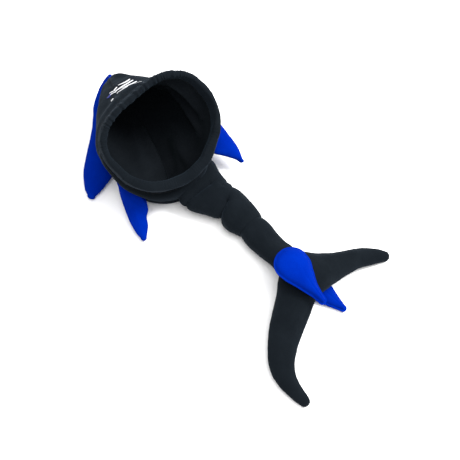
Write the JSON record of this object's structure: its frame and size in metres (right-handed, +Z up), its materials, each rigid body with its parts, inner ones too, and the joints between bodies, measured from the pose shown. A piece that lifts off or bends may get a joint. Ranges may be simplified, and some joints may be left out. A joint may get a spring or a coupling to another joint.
{
  "type": "plush fish hat",
  "caption": "Soft fleece hat shaped like a shark, laid open side up, with stuffed blue fins and a long stuffed tail that ends in a crescent fin.",
  "frame": {"origin": "middle of the laid-out hat's bounding box, at the level of the surface it lies on", "axes": "+X from the crown towards the tail fin, along the tail; +Y to the wearer's left; +Z up, away from the surface"},
  "size_m": [0.6546, 0.303, 0.2007],
  "materials": {
    "black_fleece": "matt brushed fleece",
    "black_lining": "matt thin fleece",
    "blue_fleece": "matt brushed fleece",
    "badge_thread": "satin embroidery thread",
    "black_thread": "sewing thread",
    "white_elastic": "woven elastic",
    "polyester_filling": "loose fibre"
  },
  "bodies": {
    "hat": {"crown_left_panel": "black_fleece", "crown_right_panel": "black_fleece", "lining_left_panel": "black_lining", "lining_right_panel": "black_lining", "cuff": "black_fleece", "cuff_elastic": "white_elastic", "front_badge": "badge_thread"},
    "dorsal_fin": {"dorsal_fin_left_panel": "blue_fleece", "dorsal_fin_right_panel": "blue_fleece", "dorsal_fin_filling": "polyester_filling"},
    "left_pectoral_fin": {"left_pectoral_fin_front_panel": "blue_fleece", "left_pectoral_fin_rear_panel": "blue_fleece", "left_pectoral_fin_filling": "polyester_filling"},
    "right_pectoral_fin": {"right_pectoral_fin_front_panel": "blue_fleece", "right_pectoral_fin_rear_panel": "blue_fleece", "right_pectoral_fin_filling": "polyester_filling"},
    "tail_length_1": {"tail_length_1_cover": "black_fleece", "tail_length_1_filling": "polyester_filling", "gather_thread_1": "black_thread"},
    "tail_length_2": {"tail_length_2_cover": "black_fleece", "tail_length_2_filling": "polyester_filling", "gather_thread_2": "black_thread"},
    "tail_end": {"tail_length_3_cover": "black_fleece", "tail_length_3_filling": "polyester_filling", "tail_fin_upper_panel": "black_fleece", "tail_fin_lower_panel": "black_fleece", "tail_fin_filling": "polyester_filling"},
    "upper_small_fin": {"upper_small_fin_outer_panel": "blue_fleece", "upper_small_fin_inner_panel": "blue_fleece", "upper_small_fin_filling": "polyester_filling"},
    "lower_small_fin": {"lower_small_fin_outer_panel": "blue_fleece", "lower_small_fin_inner_panel": "blue_fleece", "lower_small_fin_filling": "polyester_filling"}
  },
  "joints": [
    {"name": "tail_root_bend", "type": "hinge", "parent": "hat", "child": "tail_length_1", "pos_m": [-0.025, 0.031, 0.0247], "axis": [0, 0, 1], "range_deg": [-10, 10], "stiffness_Nm_per_rad": 0.35},
    {"name": "tail_first_crease", "type": "hinge", "parent": "tail_length_1", "child": "tail_length_2", "pos_m": [0, 0.0355, 0.0252], "axis": [0, 0, 1], "range_deg": [-15, 15], "stiffness_Nm_per_rad": 0.3},
    {"name": "tail_second_crease", "type": "hinge", "parent": "tail_length_2", "child": "tail_end", "pos_m": [0.067, 0.031, 0.0222], "axis": [0, 0, 1], "range_deg": [-15, 15], "stiffness_Nm_per_rad": 0.25},
    {"name": "dorsal_fin_fold", "type": "hinge", "parent": "hat", "child": "dorsal_fin", "pos_m": [-0.3095, 0.0625, 0.0502], "axis": [0.1436, -0.351, -0.9253], "range_deg": [0, 80], "stiffness_Nm_per_rad": 0.12},
    {"name": "right_pectoral_fin_flap", "type": "hinge", "parent": "hat", "child": "right_pectoral_fin", "pos_m": [-0.137, -0.0685, 0.0352], "axis": [0.9924, 0.0551, -0.1103], "range_deg": [-20, 25], "stiffness_Nm_per_rad": 0.12},
    {"name": "left_pectoral_fin_flap", "type": "hinge", "parent": "hat", "child": "left_pectoral_fin", "pos_m": [-0.1005, 0.116, 0.0707], "axis": [0.6551, -0.5994, -0.46], "range_deg": [-20, 25], "stiffness_Nm_per_rad": 0.12},
    {"name": "upper_small_fin_lift", "type": "hinge", "parent": "tail_end", "child": "upper_small_fin", "pos_m": [0.149, 0.0075, 0.0682], "axis": [0, -1, 0], "range_deg": [0, 60], "stiffness_Nm_per_rad": 0.06},
    {"name": "lower_small_fin_droop", "type": "hinge", "parent": "tail_end", "child": "lower_small_fin", "pos_m": [0.1655, 0.0265, 0.0067], "axis": [0, 1, 0], "range_deg": [0, 45], "stiffness_Nm_per_rad": 0.06}
  ]
}
